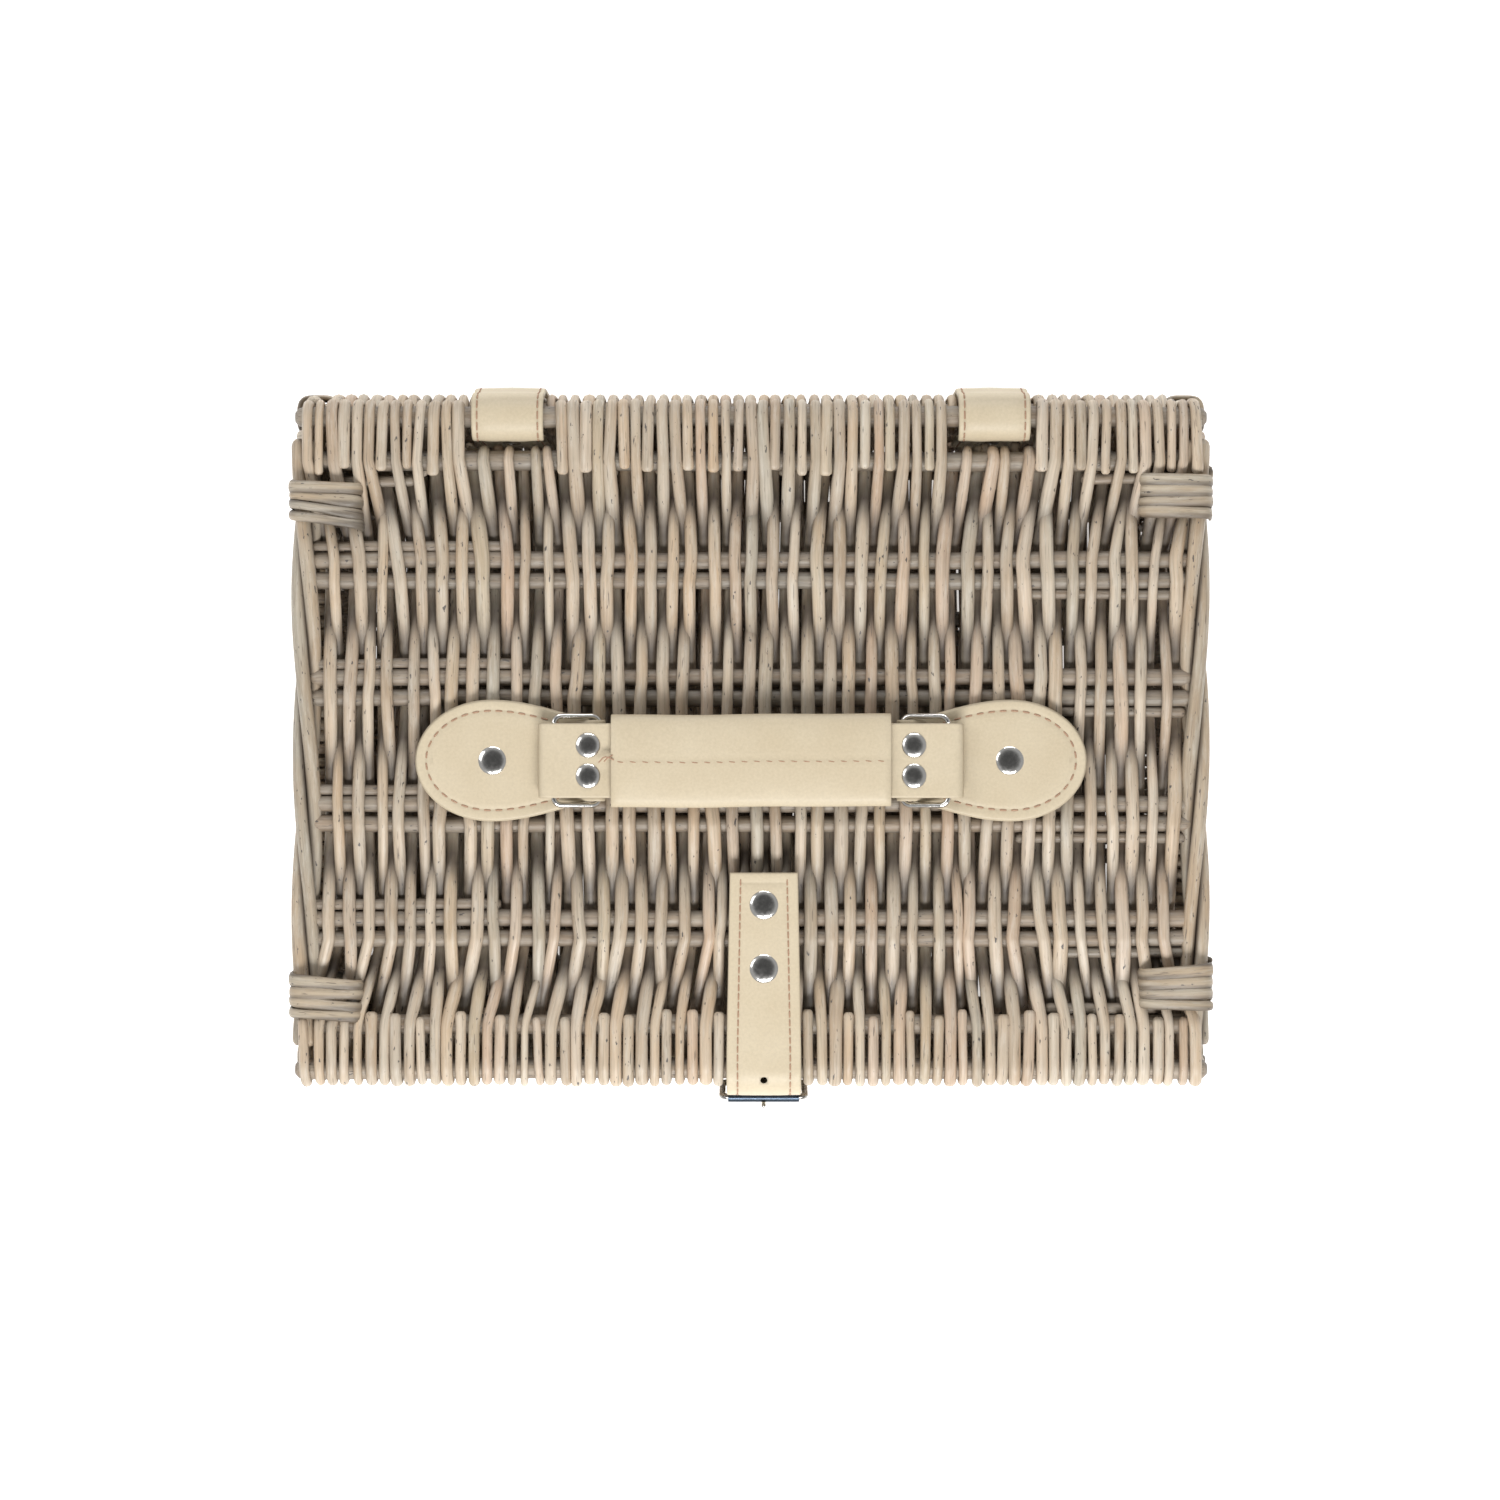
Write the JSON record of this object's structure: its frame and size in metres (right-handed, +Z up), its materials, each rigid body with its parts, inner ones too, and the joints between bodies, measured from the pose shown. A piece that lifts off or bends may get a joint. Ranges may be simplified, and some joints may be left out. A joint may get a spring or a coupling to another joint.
{
  "type": "lidded wicker hamper",
  "caption": "Rectangular woven willow hamper with a flat hinged lid, leather loop hinges, a leather carry handle on wire rings and a buckled leather closing strap",
  "frame": {"origin": "middle of the underside of the base, on the surface the hamper stands on", "axes": "+X along the long side to the right, +Y to the back, where the hinges are, +Z up"},
  "size_m": [0.3608, 0.2865, 0.1621],
  "materials": {
    "willow_weave": "dry matt antique-wash willow weavers",
    "willow_rod": "matt stout willow rods",
    "willow_lashing": "matt thin willow windings",
    "leather": "smooth cream leather, satin",
    "rivet_metal": "polished nickel plate",
    "nickel": "polished nickel plate"
  },
  "bodies": {
    "basket": {"base_weave": "willow_weave", "base_rods": "willow_rod", "back_wall_weave": "willow_weave", "back_wall_rods": "willow_rod", "front_wall_weave": "willow_weave", "front_wall_rods": "willow_rod", "left_wall_weave": "willow_weave", "left_wall_rods": "willow_rod", "right_wall_weave": "willow_weave", "right_wall_rods": "willow_rod", "corner_posts": "willow_rod", "corner_lashings": "willow_lashing", "hinge_strap_left": "leather", "hinge_strap_right": "leather", "hinge_rivets": "rivet_metal", "buckle_strap": "leather", "buckle_strap_rivets": "rivet_metal"},
    "lid": {"lid_weave": "willow_weave", "lid_hinge_rod": "willow_rod", "lid_edge_rods": "willow_rod", "lid_core_rods": "willow_rod", "lid_side_rods": "willow_rod", "lid_lashings": "willow_lashing", "handle_pad_left": "leather", "handle_pad_right": "leather", "handle_pad_rivets": "rivet_metal", "closure_strap": "leather", "closure_strap_rivets": "rivet_metal"},
    "grip": {"grip_sleeve": "leather", "grip_core": "leather"},
    "strap_end_left": {"strap_end_left": "leather", "strap_end_rivets_left": "rivet_metal"},
    "strap_end_right": {"strap_end_right": "leather", "strap_end_rivets_right": "rivet_metal"},
    "ring_left": {"ring_left": "nickel"},
    "ring_right": {"ring_right": "nickel"},
    "buckle": {"buckle_frame": "nickel", "buckle_roller": "nickel"},
    "prong": {"buckle_prong": "nickel"},
    "closure_tail": {"closure_strap_tail": "leather"}
  },
  "joints": [
    {"name": "lid_hinge", "type": "hinge", "parent": "basket", "child": "lid", "pos_m": [0, 0.1252, 0.142], "axis": [-1, 0, 0], "range_deg": [0, 175]},
    {"name": "buckle_drop", "type": "hinge", "parent": "basket", "child": "buckle", "pos_m": [0.005, -0.13895, 0.098], "axis": [1, 0, 0], "range_deg": [0, 109]},
    {"name": "prong_drop", "type": "hinge", "parent": "basket", "child": "prong", "pos_m": [0.005, -0.13895, 0.098], "axis": [1, 0, 0], "range_deg": [0, 119.5]},
    {"name": "tail_unbend", "type": "hinge", "parent": "lid", "child": "closure_tail", "pos_m": [0.005, -0.129, 0.1523], "axis": [-1, 0, 0], "range_deg": [0, 79.25]},
    {"name": "handle_lift", "type": "slide", "parent": "lid", "child": "grip", "axis": [0, 0, 1], "range_m": [0, 0.022]},
    {"name": "ring_left_swing", "type": "hinge", "parent": "lid", "child": "ring_left", "pos_m": [-0.0589, -0.0094, 0.15265], "axis": [0, 1, 0], "range_deg": [0, 31.73]},
    {"name": "ring_right_swing", "type": "hinge", "parent": "lid", "child": "ring_right", "pos_m": [0.0589, -0.0094, 0.15265], "axis": [0, -1, 0], "range_deg": [0, 31.73]},
    {"name": "strap_end_left_swing", "type": "hinge", "parent": "grip", "child": "strap_end_left", "pos_m": [-0.0566, -0.0094, 0.1579], "axis": [0, -1, 0], "range_deg": [0, 43.19]},
    {"name": "strap_end_right_swing", "type": "hinge", "parent": "grip", "child": "strap_end_right", "pos_m": [0.0566, -0.0094, 0.1579], "axis": [0, 1, 0], "range_deg": [0, 43.19]}
  ],
  "couplings": [
    {"joint": "buckle_drop", "follows": "lid_hinge", "ratio": 0.62},
    {"joint": "prong_drop", "follows": "lid_hinge", "ratio": 0.68},
    {"joint": "tail_unbend", "follows": "lid_hinge", "ratio": 0.45},
    {"joint": "ring_left_swing", "follows": "handle_lift", "rad_per_m": 25.017},
    {"joint": "ring_right_swing", "follows": "handle_lift", "rad_per_m": 25.017},
    {"joint": "strap_end_left_swing", "follows": "handle_lift", "rad_per_m": 34.109},
    {"joint": "strap_end_right_swing", "follows": "handle_lift", "rad_per_m": 34.109}
  ]
}
